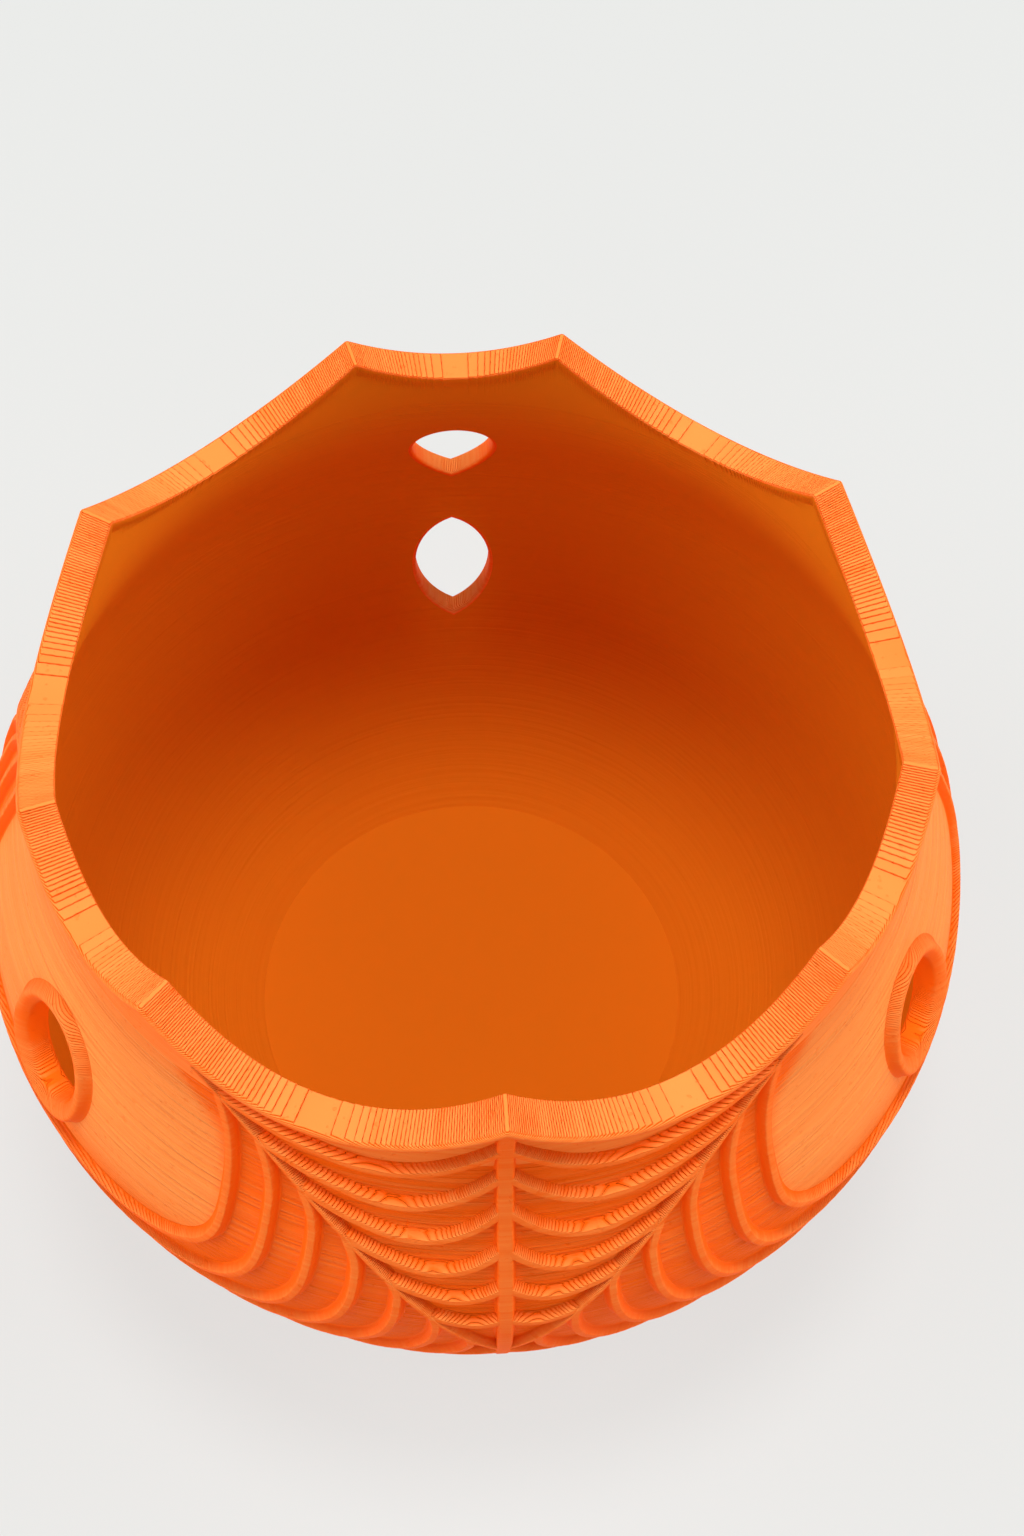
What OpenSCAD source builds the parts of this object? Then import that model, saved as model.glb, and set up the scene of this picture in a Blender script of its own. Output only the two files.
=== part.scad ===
// Round flower vase with a scalloped rim and a raised spider web on its outside.
// The vase is one continuous print. Each node here is one feature of that print.
// Origin: centre of the flat base. +Z is up, and the front spine of the web faces -Y.

/* [Bowl] */
// Height from the base to the tips of the rim
vase_height = 110; // [100:1:125]
// Height of the widest part of the bowl
belly_height = 59.5; // [52:0.5:66]
// Radius of the bowl's outer wall at its widest part
belly_radius = 72.2; // [67:0.2:78]
// Radius of the flat base
base_radius = 37; // [30:0.5:44]
// Height of the straight neck below the tips
neck_height = 5; // [3:0.5:8]
// Thickness of the wall
wall = 3; // [2:0.1:4]
// Thickness of the floor
floor_thickness = 3.4; // [2.4:0.1:5]

/* [Rim] */
// Outer radius of the rim
rim_radius = 60.5; // [57:0.5:63]
// Angle of one wide scallop
wide_angle = 45; // [40:0.5:50]
// Depth of a wide scallop below the tips
wide_sag = 9.6; // [6:0.1:12]
// Depth of a narrow scallop, above a hole, below the tips
narrow_sag = 5.8; // [3:0.1:8]
// Height of the rounded lip on the rim's outside
lip_height = 2.3; // [1.8:0.1:3]
// Rounding of the lip's top edge
lip_round = 0.7; // [0.5:0.1:1.2]

/* [Web strands] */
// Height of the strands above the wall
relief = 1.4; // [1:0.1:1.8]
// Width of a strand at the wall
strand_width = 2.4; // [2:0.1:3]
// Width of a strand's flat crest
crest_width = 1; // [0.6:0.1:1.4]
// Depth below the tips of the point where the diagonals meet the spine
hub_depth = 56.5; // [54:0.5:62]
// Distance of a diagonal from the spine at the rim, seen from the front
web_half_width = 40.6; // [37:0.2:42]
// Depth below the tips at which that distance is measured
web_top_depth = 6; // [4:0.5:8]
// How much the diagonals flare outwards near the rim, as a share of that distance
web_flare = 0.23; // [0:0.01:0.3]

/* [Web threads] */
// Depth of the thread pattern's start below the tips
thread_start = 0.7; // [0.4:0.1:1.6]
// Spacing of the threads down a spine
thread_pitch = 6.5; // [6.2:0.1:7]
// Growth of that spacing from thread to thread
thread_growth = 0.08; // [0:0.01:0.15]
// Depth of the first thread's end on a diagonal, less one spacing
node_start = 5.3; // [4.5:0.1:6]
// Spacing of the threads' ends down a diagonal
node_pitch = 5; // [4.7:0.1:5.4]
// Growth of that spacing from thread to thread
node_growth = 0.18; // [0.1:0.01:0.22]
// Sag of the second thread below its start, as a share of its span
thread_sag = 0.2; // [0.1:0.01:0.24]
// Distance from a collar's lowest edge down to the first loop's centre line
loop_clear = 2; // [1.6:0.1:3]
// Spacing of the loops at their lowest points
loop_pitch = 7; // [6:0.1:8]

/* [Holes] */
// Width of the holes
hole_width = 13; // [10:0.2:14]
// Height of the side holes
hole_height = 16.6; // [13:0.2:17.4]
// Depth of the side holes' centres below the tips
hole_depth = 35.4; // [33:0.2:37]
// Width of the raised collars' band beside a hole
collar_width = 3.4; // [2:0.1:3.8]
// Height of the collars above the wall
collar_height = 1.4; // [0.8:0.1:1.8]
// Depth below the tips at which the upper back hole is widest
back_hole_depth = 35.2; // [34:0.2:37]
// Distance from there up to the hole's top
back_hole_rise = 9.4; // [7:0.2:10]
// Distance from there down to the hole's point
back_hole_tip = 11.4; // [9:0.2:12]
// Width of the lower hole at the back
low_hole_width = 13; // [10:0.2:14]
// Depth of the lower hole's upper point below the tips
low_hole_top = 59; // [57:0.2:62]
// Height of the lower hole from point to point
low_hole_height = 19.8; // [15:0.2:21]

/* [Fits] */
// Gap between a strand and the wall that carries it
seat_gap = 0.06; // [0.05:0.01:0.1]
// Gap between the end of a strand and the strand that it meets
joint_gap = 0.1; // [0.05:0.01:0.2]

/* [Hidden] */

$fn = 96;
print_colour = [1, 0.5, 0.22];

// The web repeats three times round the vase
sector_angle = 120;
half_sector = sector_angle / 2;
front_spine = -90;
right_spine = 30;
left_spine = 150;
right_hole = -30;
left_hole = 210;
back_hole = 90;

// Bowl
neck_radius = rim_radius - relief;
neck_z = vase_height - neck_height;
belly_drop = belly_height / sqrt(1 - pow(base_radius / belly_radius, 2));
rim_skirt = 1.2;
lip_undercut = relief / 3;
lip_foot = relief / 4;
seat_z = vase_height - wide_sag - lip_height - rim_skirt;
floor_radius = base_radius - wall;
profile_step = 3;
slope_step = 0.01;
cut_start = base_radius;
cut_length = belly_radius + relief + wall - cut_start;

// Strands
strand_half = strand_width / 2;
crest_half = crest_width / 2;
shoulder_out = 0.12;
shoulder_share = 0.62;
shoulder = [(strand_half + crest_half) / 2 + shoulder_out, relief * shoulder_share];
thread_crest_half = crest_half + 0.1;
spine_section = [
    [-strand_half, seat_gap], [-shoulder[0], shoulder[1]], [-crest_half, relief],
    [crest_half, relief], [shoulder[0], shoulder[1]], [strand_half, seat_gap]
];
thread_section = [
    [-strand_half, seat_gap], [-thread_crest_half, relief],
    [thread_crest_half, relief], [strand_half, seat_gap]
];
strand_step = 5.6;
thread_step = 3.4;
middle_angle = 0.01;
path_steps = 48;
foot_clear = 2.4;

// Lengths left off a strand's end so that it clears what it meets, square on or aslant
flank_cut = strand_half + joint_gap;
diagonal_start_drop = strand_half * 0.6;
hub_cut = flank_cut * 3;
node_cut = flank_cut * 1.5;
loop_cut = flank_cut * 1.3;
edge_margin = 0.8;

// Threads: sag of each against the second one's, and the shape of the curve
diagonal_threads = 7;
sag_shares = [0.93, 1, 1, 0.9, 0.66, 0.45];
lowest_place = 0.4;
spine_curve = 1.6;
diagonal_curve = 1.35;

// Loops: depth at which each is widest, how square its corners are, and its bulge
loop_widest_depth = [29.5, 28, 30, 34.5, 38, 44, 51];
loop_squareness = [2.95, 3, 2.65, 2.25, 2.15, 2, 1.7];
first_bulge = 3.2;
bulge_step = 0.5;

// Lower threads: how steeply they climb to the spines, and the number of the lowest one
hanging_curve = 2.2;
lowest_thread = 13;

// Holes
collar_rise = collar_width * 0.8;
collar_tip = collar_width * 1.3;
low_hole_depth = low_hole_top + low_hole_height / 2;
loop_bottom = hole_depth + hole_height / 2 + collar_rise + loop_clear;

// Outer radius of the bowl at height z
function outer_radius(z) =
    z >= neck_z ? neck_radius
    : z >= belly_height
        ? neck_radius + (belly_radius - neck_radius)
            * (1 + cos(180 * (z - belly_height) / (neck_z - belly_height))) / 2
        : belly_radius * sqrt(1 - pow((belly_height - z) / belly_drop, 2));

function wall_slope(z) =
    (outer_radius(z + slope_step) - outer_radius(z - slope_step)) / (2 * slope_step);

// Outward normal of the wall at height z, as [radial, up]
function wall_normal(z) = let (s = wall_slope(z)) [1, -s] / norm([1, -s]);

// Point [radius, z] at a lift from the outer wall, measured square to it
function lifted(z, lift) = let (n = wall_normal(z)) [outer_radius(z) + lift * n[0], z + lift * n[1]];

// Height on the outer wall whose inner point lies at height z
function facing_z(z, turns = 8) = turns == 0 ? z : z + wall * wall_normal(facing_z(z, turns - 1))[1];

function inner_radius(z) = lifted(facing_z(z), -wall)[0];

function steps_between(low, high, step) =
    let (count = max(1, ceil((high - low) / step))) [for (i = [0:count]) low + (high - low) * i / count];

// Height of the rim's top face at an angle from a spine
function scallop_z(angle, low, high, sag) =
    let (u = (2 * angle - low - high) / (high - low)) vase_height - sag * (1 - u * u);

function rim_z(angle) =
    let (m = angle - sector_angle * floor(angle / sector_angle))
    m <= wide_angle ? scallop_z(m, 0, wide_angle, wide_sag)
    : m < sector_angle - wide_angle
        ? scallop_z(m, wide_angle, sector_angle - wide_angle, narrow_sag)
        : scallop_z(m, sector_angle - wide_angle, sector_angle, wide_sag);

// Depth below the tips of thread number k on a spine
function thread_depth(k) = thread_start + thread_pitch * k + thread_growth * k * k;

// Depth below the tips of thread number k where it meets a diagonal
function node_depth(k) = node_start + node_pitch * k + node_growth * k * k;

// Distance in degrees round the wall, for a length along it at a depth below the tips
function turn_of(length, depth) = length / outer_radius(vase_height - depth) * 180 / PI;

// Distance of a diagonal from its spine along the wall, at a depth below the tips
function diagonal_reach(depth) =
    let (share = (hub_depth - depth) / (hub_depth - web_top_depth))
    web_half_width * share * (1 - web_flare + web_flare * share);

function diagonal_angle(depth) = turn_of(diagonal_reach(depth), depth);

function point_at(angle, z, lift) =
    let (p = lifted(z, lift)) [p[0] * cos(angle), p[0] * sin(angle), p[1]];

function unit(v) = v / norm(v);

// Running length of a path of [angle, z] pairs along the wall
function running_length(path, i = 0, sum = 0, lengths = []) =
    let (
        here = point_at(path[i][0], path[i][1], 0),
        before = point_at(path[max(0, i - 1)][0], path[max(0, i - 1)][1], 0),
        total = sum + norm(here - before)
    )
    i == len(path) - 1 ? concat(lengths, [total])
    : running_length(path, i + 1, total, concat(lengths, [total]));

// The path in equal steps, with a length cut off at its start and its end
function even_path(path, first_cut, last_cut, step = strand_step) =
    let (
        lengths = running_length(path),
        total = lengths[len(lengths) - 1] - first_cut - last_cut,
        angles = [for (i = [0:len(path) - 1]) [lengths[i], path[i][0]]],
        heights = [for (i = [0:len(path) - 1]) [lengths[i], path[i][1]]],
        count = max(1, ceil(total / step))
    )
    [for (i = [0:count]) let (s = first_cut + total * i / count) [lookup(s, angles), lookup(s, heights)]];

// One cross-section of a strand, standing square to the wall and to the strand
function strand_ring(path, i, section) =
    let (
        last = len(path) - 1,
        here = path[i],
        ahead = path[min(i + 1, last)],
        behind = path[max(i - 1, 0)],
        along = unit(point_at(ahead[0], ahead[1], 0) - point_at(behind[0], behind[1], 0)),
        foot = point_at(here[0], here[1], 0),
        up = point_at(here[0], here[1], 1) - foot,
        side = unit(cross(along, up))
    )
    [for (p = section) foot + p[0] * side + p[1] * up];

module strand(path, section) {
    sides = len(section);
    last = len(path) - 1;
    points = [for (i = [0:last]) each strand_ring(path, i, section)];
    start_cap = [for (j = [1:sides - 2]) [0, j, j + 1]];
    end_cap = [for (j = [1:sides - 2]) [last * sides, last * sides + j + 1, last * sides + j]];
    flanks = [for (i = [0:last - 1]) for (j = [0:sides - 1])
        let (a = i * sides + j, b = i * sides + (j + 1) % sides)
        each [[a, a + sides, b], [b, a + sides, b + sides]]];
    polyhedron(points, concat(start_cap, end_cap, flanks));
}

// Half width of a lens at a height, where the lens comes to a point at its reach
function lens_x(y, half_width, reach) =
    let (bow = (reach * reach + half_width * half_width) / (2 * half_width))
    sqrt(bow * bow - y * y) - bow + half_width;

// Outline of a side hole, or of its collar's outer edge when it is wider and taller
module oval_hole(side = 0, rise = 0) {
    oval_steps = 48;
    polygon([for (i = [0:oval_steps - 1])
        let (a = 360 * i / oval_steps)
        [(hole_width / 2 + side) * cos(a), (hole_height / 2 + rise) * sin(a)]]);
}

// Outline of the upper back hole: round above, pointed below
module pointed_hole(side = 0, rise = 0, drop = 0) {
    half_width = hole_width / 2 + side;
    tip = back_hole_tip + drop;
    arc_steps = 24;
    lens_steps = 8;
    arc = [for (i = [0:arc_steps])
        let (a = 180 * i / arc_steps)
        [half_width * cos(a), (back_hole_rise + rise) * sin(a)]];
    left = [for (i = [1:lens_steps]) let (y = tip * i / lens_steps) [-lens_x(y, half_width, tip), -y]];
    right = [for (i = [1:lens_steps - 1])
        let (y = tip * (1 - i / lens_steps))
        [lens_x(y, half_width, tip), -y]];
    polygon(concat(arc, left, right));
}

// Outline of the lower hole: two arcs that meet in a point above and below
module low_hole() {
    bow = (pow(low_hole_height, 2) + pow(low_hole_width, 2)) / (4 * low_hole_width);
    intersection() {
        translate([bow - low_hole_width / 2, 0]) circle(r = bow);
        translate([low_hole_width / 2 - bow, 0]) circle(r = bow);
    }
}

// Stands an outline up on the wall at an angle and a depth, and cuts it outwards
module through_wall(angle, depth) {
    rotate([0, 0, angle])
        translate([cut_start, 0, vase_height - depth])
            rotate([90, 0, 90])
                linear_extrude(cut_length) children();
}

// Ring of wall between two lifts from the outer surface
module wall_band(low_lift, high_lift, low_z, high_z) {
    heights = steps_between(low_z, high_z, profile_step);
    last = len(heights) - 1;
    rotate_extrude()
        polygon(concat(
            [for (z = heights) lifted(z, low_lift)],
            [for (i = [0:last]) lifted(heights[last - i], high_lift)]
        ));
}

module bowl_wall() {
    outside = steps_between(0, seat_z, profile_step);
    inside = steps_between(floor_thickness, seat_z, profile_step);
    last = len(inside) - 1;
    color(print_colour)
    difference() {
        rotate_extrude()
            polygon(concat(
                [[floor_radius, 0]],
                [for (z = outside) [outer_radius(z), z]],
                [for (i = [0:last]) [inner_radius(inside[last - i]), inside[last - i]]],
                [[floor_radius, floor_thickness]]
            ));
        through_wall(right_hole, hole_depth) oval_hole();
        through_wall(left_hole, hole_depth) oval_hole();
        through_wall(back_hole, back_hole_depth) pointed_hole();
        through_wall(back_hole, low_hole_depth) low_hole();
    }
}

module floor_disc() {
    color(print_colour) cylinder(r = floor_radius - seat_gap, h = floor_thickness);
}

// One cross-section of the rim: inner wall, flat top, rounded lip and outer wall
function rim_section(top_z) =
    let (
        under_lip = top_z - lip_height,
        middle = (seat_z + top_z) / 2,
        under_middle = (seat_z + under_lip) / 2,
        corner = lip_round * (1 - sin(45))
    )
    [
        [inner_radius(seat_z), seat_z],
        [inner_radius(middle), middle],
        [inner_radius(top_z), top_z],
        [rim_radius - lip_round, top_z],
        [rim_radius - corner, top_z - corner],
        [rim_radius, top_z - lip_round],
        [rim_radius, under_lip + lip_undercut],
        [outer_radius(under_lip) + lip_foot, under_lip],
        [outer_radius(under_middle), under_middle],
        [outer_radius(seat_z), seat_z]
    ];

module scalloped_rim() {
    wide_steps = 12;
    narrow_steps = 8;
    narrow_angle = sector_angle - 2 * wide_angle;
    sector = concat(
        [for (i = [0:wide_steps - 1]) wide_angle * i / wide_steps],
        [for (i = [0:narrow_steps - 1]) wide_angle + narrow_angle * i / narrow_steps],
        [for (i = [0:wide_steps - 1]) wide_angle + narrow_angle + wide_angle * i / wide_steps]
    );
    angles = [for (turn = [0:2]) for (angle = sector) turn * sector_angle + angle];
    sections = [for (angle = angles) rim_section(rim_z(angle))];
    sides = len(sections[0]);
    count = len(angles);
    points = [for (i = [0:count - 1]) for (p = sections[i])
        [p[0] * cos(front_spine + angles[i]), p[0] * sin(front_spine + angles[i]), p[1]]];
    faces = [for (i = [0:count - 1]) for (j = [0:sides - 1])
        let (
            next = (i + 1) % count,
            up = (j + 1) % sides,
            a = i * sides + j,
            b = i * sides + up,
            c = next * sides + j,
            d = next * sides + up
        )
        each [[a, b, c], [b, d, c]]];
    color(print_colour) polyhedron(points, faces);
}

module side_collar(angle) {
    z = vase_height - hole_depth;
    reach = hole_height / 2 + collar_rise + collar_height;
    color(print_colour)
    difference() {
        intersection() {
            wall_band(seat_gap, collar_height, z - reach, z + reach);
            through_wall(angle, hole_depth) oval_hole(collar_width, collar_rise);
        }
        through_wall(angle, hole_depth) oval_hole();
    }
}

module back_collar() {
    z = vase_height - back_hole_depth;
    low = z - back_hole_tip - collar_tip - collar_height;
    high = z + back_hole_rise + collar_rise + collar_height;
    color(print_colour)
    difference() {
        intersection() {
            wall_band(seat_gap, collar_height, low, high);
            through_wall(back_hole, back_hole_depth) pointed_hole(collar_width, collar_rise, collar_tip);
        }
        through_wall(back_hole, back_hole_depth) pointed_hole();
    }
}

// The upright strand in the middle of a web, from the rim's tip to the base
module spine(angle) {
    path = [for (z = steps_between(foot_clear, vase_height - lip_height - joint_gap, profile_step))
        [angle, z]];
    color(print_colour) strand(even_path(path, 0, 0), spine_section);
}

// The two slanted strands of a web, from the rim down to the spine
module diagonals(angle) {
    top_angle = diagonal_angle(web_top_depth + lip_height);
    top = vase_height - rim_z(top_angle) + lip_height + diagonal_start_drop;
    color(print_colour)
    for (side = [-1, 1]) {
        path = [for (i = [0:path_steps])
            let (depth = top + (hub_depth - top) * i / path_steps)
            [angle + side * diagonal_angle(depth), vase_height - depth]];
        strand(even_path(path, 0, hub_cut), spine_section);
    }
}

// Depth of a thread at a share of its span: it falls from the spine, then rises to the diagonal
function sagging(share, start, lowest, end) =
    share < lowest_place
        ? lowest - (lowest - start) * pow(1 - share / lowest_place, spine_curve)
        : lowest - (lowest - end) * pow((share - lowest_place) / (1 - lowest_place), diagonal_curve);

// Threads between the spine and the diagonals of a web
module threads(angle) {
    color(print_colour)
    for (side = [-1, 1]) for (k = [1:diagonal_threads - 1]) {
        start = thread_depth(k);
        end = node_depth(k);
        lowest = start + thread_sag * sag_shares[k - 1] * diagonal_reach(end);
        path = [for (i = [0:path_steps])
            let (t = i / path_steps)
            [angle + side * diagonal_angle(end) * t, vase_height - sagging(t, start, lowest, end)]];
        strand(even_path(path, flank_cut, node_cut, thread_step), thread_section);
    }
}

// Half of a loop, from where it starts to its lowest point: [angle from the hole, depth]
function loop_half(start_angle, start_depth, bulge, widest_depth, bottom, squareness) =
    let (
        widest = start_angle + bulge,
        upper = [for (i = [0:path_steps / 2 - 1])
            let (t = 2 * i / path_steps)
            [widest - bulge * pow(1 - t, 2), start_depth + (widest_depth - start_depth) * t]],
        lower = [for (i = [0:path_steps])
            let (turn = 90 * i / path_steps)
            [
                widest * pow(cos(turn), 2 / squareness),
                widest_depth + (bottom - widest_depth) * pow(sin(turn), 2 / squareness)
            ]]
    )
    concat(widest_depth > start_depth ? upper : [], lower);

// Half of a lower thread, which hangs from spine to spine: [angle from the hole, depth]
function hanging_half(start_depth, bottom) =
    [for (i = [0:path_steps])
        let (t = 1 - i / path_steps)
        [half_sector * t, bottom - (bottom - start_depth) * pow(t, hanging_curve)]];

function loop_shape(k) =
    let (start = node_depth(k), bottom = loop_bottom + loop_pitch * (k - 1))
    k > diagonal_threads ? hanging_half(thread_depth(k), bottom)
    : loop_half(
        half_sector - diagonal_angle(start), start, max(0, first_bulge - bulge_step * (k - 1)),
        max(start, loop_widest_depth[k - 1]), bottom, loop_squareness[k - 1]);

// Half width of the back collar's outline grown by a margin, at a height below its widest line
function back_collar_x(below, margin) =
    let (
        half_width = hole_width / 2 + collar_width + margin,
        rise = back_hole_rise + collar_rise + margin,
        tip = back_hole_tip + collar_tip + margin
    )
    below < -rise || below > tip ? -1
    : below < 0 ? half_width * sqrt(1 - pow(below / rise, 2))
    : lens_x(below, half_width, tip);

// True where a thread keeps its distance from both holes at the back
function clear_of_back_holes(angle, depth) =
    let (
        x = abs(angle) * PI / 180 * outer_radius(vase_height - depth),
        margin = strand_half + edge_margin,
        low_reach = [low_hole_width / 2 + margin, low_hole_height / 2 + margin]
    )
    x > back_collar_x(depth - back_hole_depth, margin)
        && norm([x / low_reach[0], (depth - low_hole_depth) / low_reach[1]]) > 1;

// Threads numbered first to last round one hole, left and right halves mirrored
module loops(hole_angle, first, last) {
    color(print_colour)
    for (k = [first:last]) {
        half = [for (p = loop_shape(k)) if (vase_height - p[1] > foot_clear) p];
        open = [for (p = half) if (hole_angle != back_hole || clear_of_back_holes(p[0], p[1])) p];
        whole = open[len(open) - 1][0] < middle_angle;
        right = [for (p = open) [hole_angle + p[0], vase_height - p[1]]];
        left = [for (p = open) [hole_angle - p[0], vase_height - p[1]]];
        if (whole) {
            back = [for (i = [1:len(left) - 1]) left[len(left) - 1 - i]];
            strand(even_path(concat(right, back), loop_cut, loop_cut), thread_section);
        } else {
            strand(even_path(right, loop_cut, 0), thread_section);
            strand(even_path(left, loop_cut, 0), thread_section);
        }
    }
}

bowl_wall();
floor_disc();
scalloped_rim();
side_collar(right_hole);  // collar_right
side_collar(left_hole);  // collar_left
back_collar();  // collar_back
spine(front_spine);  // spine_front
spine(right_spine);  // spine_right
spine(left_spine);  // spine_left
diagonals(front_spine);  // diagonals_front
diagonals(right_spine);  // diagonals_right
diagonals(left_spine);  // diagonals_left
threads(front_spine);  // threads_front
threads(right_spine);  // threads_right
threads(left_spine);  // threads_left
loops(right_hole, 1, diagonal_threads);  // loops_right
loops(left_hole, 1, diagonal_threads);  // loops_left
loops(back_hole, 1, diagonal_threads);  // loops_back
loops(right_hole, diagonal_threads + 1, lowest_thread);  // lower_threads_right
loops(left_hole, diagonal_threads + 1, lowest_thread);  // lower_threads_left
loops(back_hole, diagonal_threads + 1, lowest_thread);  // lower_threads_back
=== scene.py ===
import math
import bmesh
import bpy
from mathutils import Matrix, Vector, noise
from mathutils.kdtree import KDTree


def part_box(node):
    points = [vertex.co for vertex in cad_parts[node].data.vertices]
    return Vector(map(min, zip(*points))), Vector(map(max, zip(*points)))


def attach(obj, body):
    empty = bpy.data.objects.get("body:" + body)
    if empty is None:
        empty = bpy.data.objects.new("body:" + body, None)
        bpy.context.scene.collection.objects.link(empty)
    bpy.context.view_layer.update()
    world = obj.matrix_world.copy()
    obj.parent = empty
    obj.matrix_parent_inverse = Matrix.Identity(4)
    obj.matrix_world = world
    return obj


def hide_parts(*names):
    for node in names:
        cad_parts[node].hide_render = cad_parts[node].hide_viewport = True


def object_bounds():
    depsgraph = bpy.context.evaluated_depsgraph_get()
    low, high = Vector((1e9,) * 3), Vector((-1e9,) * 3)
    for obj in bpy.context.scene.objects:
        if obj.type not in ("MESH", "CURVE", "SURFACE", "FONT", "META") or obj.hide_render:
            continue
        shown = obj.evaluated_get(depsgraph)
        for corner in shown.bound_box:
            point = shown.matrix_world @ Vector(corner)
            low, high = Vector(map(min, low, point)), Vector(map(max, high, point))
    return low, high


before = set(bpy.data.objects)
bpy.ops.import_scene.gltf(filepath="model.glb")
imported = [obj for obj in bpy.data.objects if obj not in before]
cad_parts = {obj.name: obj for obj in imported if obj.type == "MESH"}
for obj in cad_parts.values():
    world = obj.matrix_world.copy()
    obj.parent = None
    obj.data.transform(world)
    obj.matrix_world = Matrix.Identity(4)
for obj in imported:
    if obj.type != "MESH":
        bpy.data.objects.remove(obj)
cad_low, cad_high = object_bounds()

# Sizes in metres and angles in degrees. Those that the imported model holds are read from it.
MM = 0.001
rim_low, rim_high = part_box("scalloped_rim")
vase_height = rim_high.z
rim_radius = rim_high.y
seat_z = rim_low.z
floor_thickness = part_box("floor_disc")[1].z
belly_radius = 72.2 * MM
belly_height = 59.5 * MM
base_radius = 37 * MM
neck_height = 5 * MM
lip_overhang = 1.4 * MM
wall = 3 * MM
layer = 0.2 * MM

# Points closer than this are one
weld = 1e-6
fine_weld = 1e-7

# Rim: three scallops in each sector, as (angle, sag). Their arcs would meet a little over the
# tips, which are cut flat.
sector_angle = 120
sectors = 360 // sector_angle
wide_angle = 45
wide_scallop = (wide_angle, 48 * layer)
narrow_scallop = (sector_angle - 2 * wide_angle, 29 * layer)
scallops = (wide_scallop, narrow_scallop, wide_scallop)
tip_over = 0.12 * MM
lip_height = 2.3 * MM

# Web: three in all, each with a spine, two diagonals and the threads between them. Depths are
# taken from the tips down.
inside_box = 0.03 * MM
relief = min(cad_high[0], cad_high[1], -cad_low[1]) - belly_radius - inside_box
hub_depth = 56.5 * MM
web_half_width = 40.6 * MM
web_top_depth = 6 * MM
web_flare = 0.23
diagonal_threads = 7
lowest_thread = 13
foot_clear = 2.2 * MM
under_lip_share = 0.8
path_steps = 80

# How deep the k-th thread meets its spine and its diagonal in mm, as (start, pitch, growth)
spine_spacing = (0.7, 6.5, 0.08)
diagonal_spacing = (5.3, 5, 0.18)

# How far a thread sags as a share of its reach, where it is lowest, and how its ends curve
sag_shares = (0.21, 0.23, 0.23, 0.22, 0.175, 0.12)
lowest_place = 0.45
spine_curve = 2.3
diagonal_curve = 1.35

# Loops under the holes: their bottoms, and how they widen on the way down
loop_bottom = 48.42 * MM
loop_pitch = 7 * MM
loop_widest_depths = [depth * MM for depth in (29.5, 28, 30, 34.5, 38, 44, 51)]
loop_squareness = (2.95, 3, 2.65, 2.25, 2.15, 2, 1.7)
first_bulge = 3.2
bulge_step = 0.5
hanging_curve = 2.2
loop_side_steps = 40
loop_bottom_steps = 100

# Holes
hole_half_width = 6.5 * MM
hole_half_height = 8.3 * MM
hole_depth = 35.4 * MM
collar_width = 3.4 * MM
rise_share = 0.8
tip_share = 1.3
back_hole_depth = 35.2 * MM
back_hole_rise = 9.4 * MM
back_hole_tip = 11.4 * MM
low_hole_half_height = 9.9 * MM
low_hole_depth = 68.9 * MM

# Where the spines stand, and the holes between them
FRONT, RIGHT, LEFT = -90, 30, 150
RIGHT_HOLE, LEFT_HOLE, BACK_HOLE = -30, 210, 90

neck_radius = rim_radius - lip_overhang
neck_z = vase_height - neck_height
belly_drop = belly_height / math.sqrt(1 - (base_radius / belly_radius) ** 2)


# The bowl's shape

def outer_radius(z):
    if z >= neck_z:
        return neck_radius
    if z >= belly_height:
        turn = math.pi * (z - belly_height) / (neck_z - belly_height)
        return neck_radius + (belly_radius - neck_radius) * (1 + math.cos(turn)) / 2
    return belly_radius * math.sqrt(1 - ((belly_height - z) / belly_drop) ** 2)


def wall_normal(z):
    """The outer face's normal, as its outward and upward parts."""
    step = 0.01 * MM
    slope = (outer_radius(z + step) - outer_radius(z - step)) / (2 * step)
    length = math.hypot(1, slope)
    return 1 / length, -slope / length


def lifted(z, lift):
    """Radius and height of a point that stands off the outer face."""
    out, up = wall_normal(z)
    return outer_radius(z) + lift * out, z + lift * up


def inner_radius(z):
    """Radius of the inner face, at the place that lies across the wall from the outer face."""
    rounds = 8
    outer_z = z
    for _ in range(rounds):
        outer_z = z + wall * wall_normal(outer_z)[1]
    return lifted(outer_z, -wall)[0]


def at_angle(radius, angle, z):
    turn = math.radians(angle)
    return Vector((radius * math.cos(turn), radius * math.sin(turn), z))


def on_wall(angle, z, lift=0.0):
    radius, height = lifted(z, lift)
    return at_angle(radius, angle, height)


def scallop(angle):
    """Height of the rim's top at an angle from the front spine."""
    place = angle % sector_angle
    high = 0
    for width, sag in scallops:
        low, high = high, high + width
        if place <= high:
            break
    u = (2 * place - low - high) / width
    return min(vase_height, vase_height + tip_over - (sag + tip_over) * (1 - u * u))


# Paths of the strands, as lists of (angle, z)

def spaced(spacing, k):
    """The k-th depth in metres."""
    start, pitch, growth = spacing
    return (start + pitch * k + growth * k * k) * MM


def diagonal_reach(depth):
    """How far a diagonal is from its spine along the wall."""
    share = (hub_depth - depth) / (hub_depth - web_top_depth)
    return web_half_width * share * (1 - web_flare + web_flare * share)


def diagonal_angle(depth):
    return math.degrees(diagonal_reach(depth) / outer_radius(vase_height - depth))


def steps(count):
    """Even fractions from 0 to 1, both included."""
    return [i / count for i in range(count + 1)]


def spine_path(angle):
    top = vase_height - lip_height / 2
    return [(angle, foot_clear + (top - foot_clear) * t) for t in steps(path_steps)]


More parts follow.
